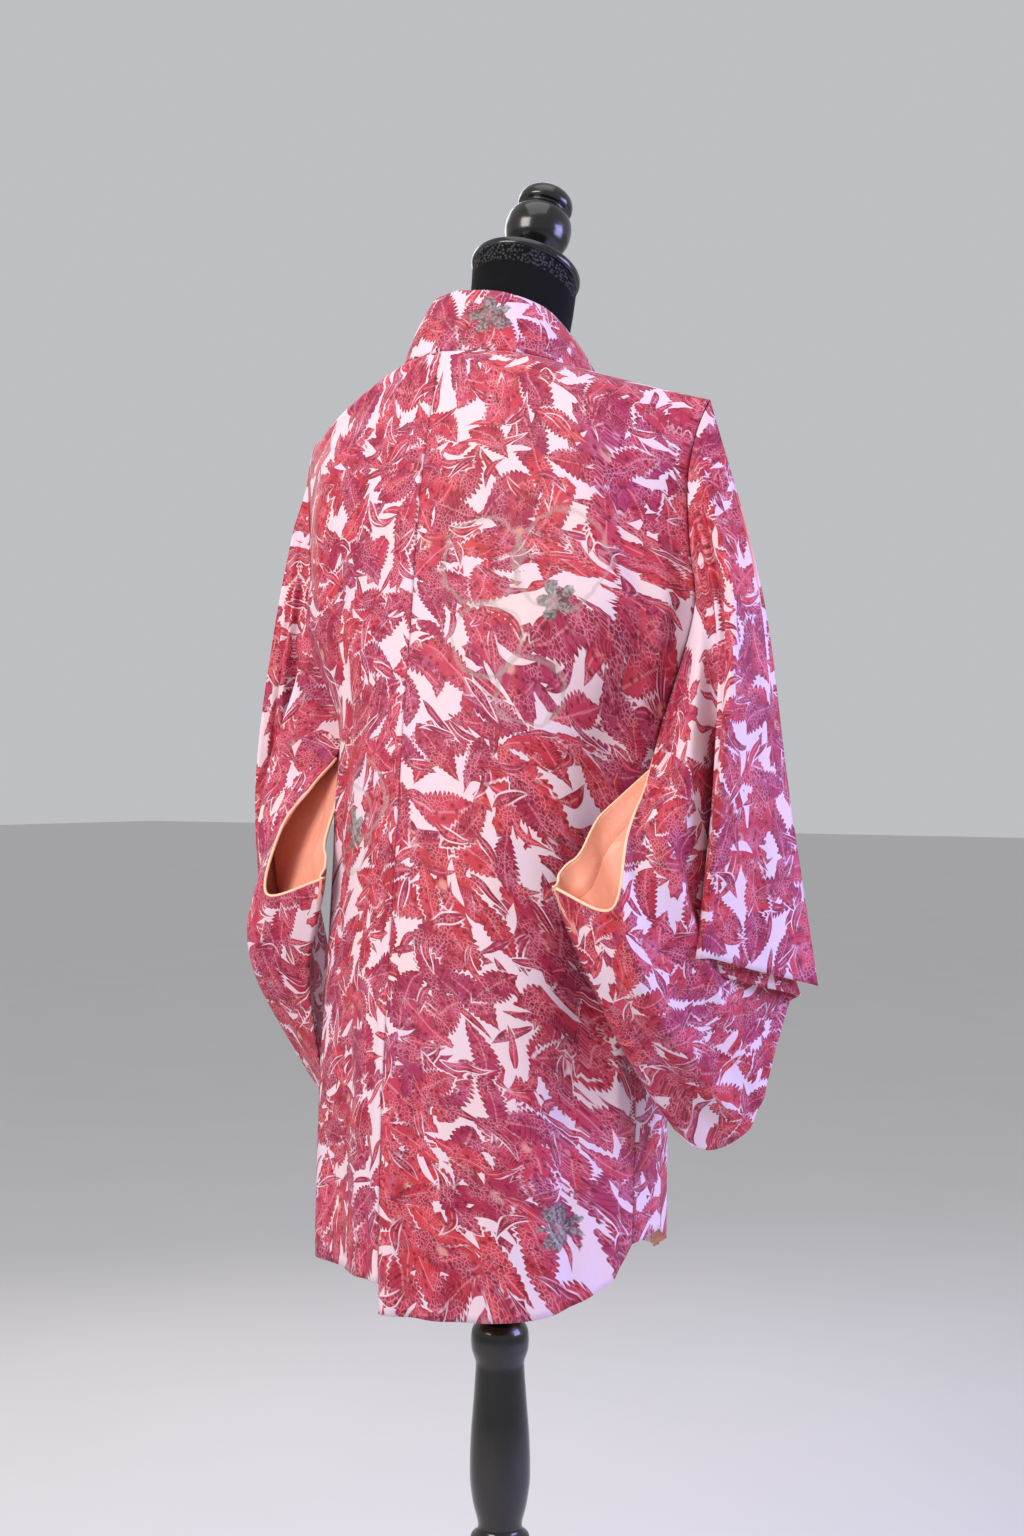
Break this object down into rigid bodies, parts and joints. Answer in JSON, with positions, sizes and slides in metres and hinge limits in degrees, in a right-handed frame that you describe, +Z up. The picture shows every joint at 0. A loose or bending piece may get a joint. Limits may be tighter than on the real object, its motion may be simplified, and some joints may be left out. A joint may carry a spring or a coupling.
{
  "type": "haori on dress form",
  "caption": "Open-fronted haori coat of printed silk with peach lining, hanging from a limbless black dress form on a turned stand.",
  "frame": {"origin": "centre of the foot's underside, on the post's axis", "axes": "+Z up from the floor; the wearer faces -Y, so the back is +Y; +X is the wearer's left"},
  "size_m": [0.5508, 0.38, 1.6154],
  "materials": {
    "silk": "satin crepe silk with a red leaf and flower print",
    "lining": "smooth peach lining silk",
    "velvet": "black velvet cover",
    "wood": "black lacquered turned wood"
  },
  "bodies": {
    "root": {"body_right": "silk", "body_left": "silk", "gusset_right": "silk", "gusset_left": "silk", "sleeve_right": "silk", "sleeve_left": "silk", "sleeve_lining_right": "lining", "sleeve_lining_left": "lining", "collar": "silk", "form_torso": "velvet", "neck_cap": "wood", "finial": "wood", "post": "wood", "foot": "wood"}
  },
  "joints": []
}
